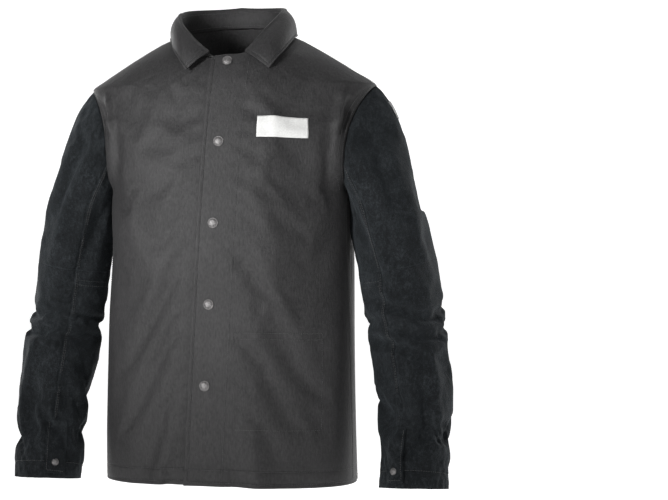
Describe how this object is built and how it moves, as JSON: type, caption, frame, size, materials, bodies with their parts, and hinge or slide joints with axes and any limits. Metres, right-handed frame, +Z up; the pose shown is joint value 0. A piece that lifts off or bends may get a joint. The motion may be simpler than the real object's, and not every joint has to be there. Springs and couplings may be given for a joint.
{
  "type": "leather welding jacket",
  "caption": "Snap-front welding jacket with a woven cotton body, fold-over collar, split-leather sleeves and snap cuffs.",
  "frame": {"origin": "midway between the two neck points of the shoulder seams, where a hanger or the shoulders carry the jacket", "axes": "+Z up the jacket towards the collar, the front faces -Y, +X is the wearer's left"},
  "size_m": [0.7356, 0.2963, 0.8146],
  "materials": {
    "cotton": "dense black woven cotton with a slight sheen",
    "lining_cotton": "inner face of the same woven cotton",
    "split_leather": "blue-black split leather with a mottled nap",
    "snap_pewter": "dark pewter press snap",
    "woven_white": "plain white woven label",
    "woven_red": "plain red woven label with a pale border",
    "woven_grey": "plain grey woven label"
  },
  "bodies": {
    "jacket_body": {"back_panel": "cotton", "left_front_side": "cotton", "right_front_side": "cotton", "left_facing_upper": "lining_cotton", "right_facing_upper": "lining_cotton", "inside_pocket_side_part": "lining_cotton", "collar_stand": "cotton", "collar_leaf": "cotton", "chest_label": "woven_white", "neck_label": "woven_red", "sleeve_label": "woven_grey", "snap_1_cap": "snap_pewter", "snap_1_socket": "snap_pewter", "snap_1_stud": "snap_pewter", "snap_1_post": "snap_pewter", "snap_2_cap": "snap_pewter", "snap_2_socket": "snap_pewter", "snap_2_stud": "snap_pewter", "snap_2_post": "snap_pewter", "snap_3_stud": "snap_pewter", "snap_3_post": "snap_pewter", "left_sleeve_cap": "split_leather", "right_sleeve_cap": "split_leather"},
    "left_flap": {"left_front_flap": "cotton", "left_facing": "lining_cotton", "inside_pocket_flap_part": "lining_cotton", "snap_3_cap": "snap_pewter", "snap_3_socket": "snap_pewter", "snap_4_cap": "snap_pewter", "snap_4_socket": "snap_pewter", "snap_5_cap": "snap_pewter", "snap_5_socket": "snap_pewter"},
    "right_flap": {"right_front_flap": "cotton", "right_facing": "lining_cotton", "snap_4_stud": "snap_pewter", "snap_4_post": "snap_pewter", "snap_5_stud": "snap_pewter", "snap_5_post": "snap_pewter"},
    "left_upper_sleeve": {"left_sleeve_upper_top": "split_leather", "left_sleeve_upper_under": "split_leather", "left_sleeve_elbow": "split_leather"},
    "left_forearm": {"left_sleeve_lower_top": "split_leather", "left_sleeve_lower_under": "split_leather", "left_cuff_facing": "split_leather", "left_cuff_snap_stud": "snap_pewter", "left_cuff_snap_post": "snap_pewter"},
    "left_cuff_flap": {"left_cuff_tab": "split_leather", "left_cuff_snap_cap": "snap_pewter", "left_cuff_snap_socket": "snap_pewter"},
    "right_upper_sleeve": {"right_sleeve_upper_top": "split_leather", "right_sleeve_upper_under": "split_leather", "right_sleeve_elbow": "split_leather"},
    "right_forearm": {"right_sleeve_lower_top": "split_leather", "right_sleeve_lower_under": "split_leather", "right_cuff_facing": "split_leather", "right_cuff_snap_stud": "snap_pewter", "right_cuff_snap_post": "snap_pewter"},
    "right_cuff_flap": {"right_cuff_tab": "split_leather", "right_cuff_snap_cap": "snap_pewter", "right_cuff_snap_socket": "snap_pewter"}
  },
  "joints": [
    {"name": "left_front_open", "type": "hinge", "parent": "jacket_body", "child": "left_flap", "pos_m": [0.135, -0.15739, -0.743], "axis": [-0.2797, 0, 0.9601], "range_deg": [0, 110]},
    {"name": "right_front_open", "type": "hinge", "parent": "jacket_body", "child": "right_flap", "pos_m": [-0.165, -0.14788, -0.743], "axis": [-0.4447, 0, -0.8957], "range_deg": [0, 44]},
    {"name": "left_shoulder_raise", "type": "hinge", "parent": "jacket_body", "child": "left_upper_sleeve", "pos_m": [0.218, 0, -0.175], "axis": [0, -1, 0], "range_deg": [0, 45], "deforming": ["left_sleeve_cap"]},
    {"name": "left_elbow_bend", "type": "hinge", "parent": "left_upper_sleeve", "child": "left_forearm", "pos_m": [0.29539, 0.00482, -0.4725], "axis": [-1, 0, 0], "range_deg": [0, 60], "deforming": ["left_sleeve_elbow"]},
    {"name": "left_cuff_flap_open", "type": "hinge", "parent": "left_forearm", "child": "left_cuff_flap", "pos_m": [0.26677, -0.08503, -0.69308], "axis": [0.0111, -0.1725, -0.985], "range_deg": [0, 80]},
    {"name": "right_shoulder_raise", "type": "hinge", "parent": "jacket_body", "child": "right_upper_sleeve", "pos_m": [-0.218, 0, -0.175], "axis": [0, 1, 0], "range_deg": [0, 45], "deforming": ["right_sleeve_cap"]},
    {"name": "right_elbow_bend", "type": "hinge", "parent": "right_upper_sleeve", "child": "right_forearm", "pos_m": [-0.29539, 0.00482, -0.4725], "axis": [-1, 0, 0], "range_deg": [0, 60], "deforming": ["right_sleeve_elbow"]},
    {"name": "right_cuff_flap_open", "type": "hinge", "parent": "right_forearm", "child": "right_cuff_flap", "pos_m": [-0.26677, -0.08503, -0.69308], "axis": [0.0111, 0.1725, 0.985], "range_deg": [0, 80]}
  ],
  "couplings": [
    {"joint": "right_front_open", "follows": "left_front_open", "ratio": 0.4}
  ]
}
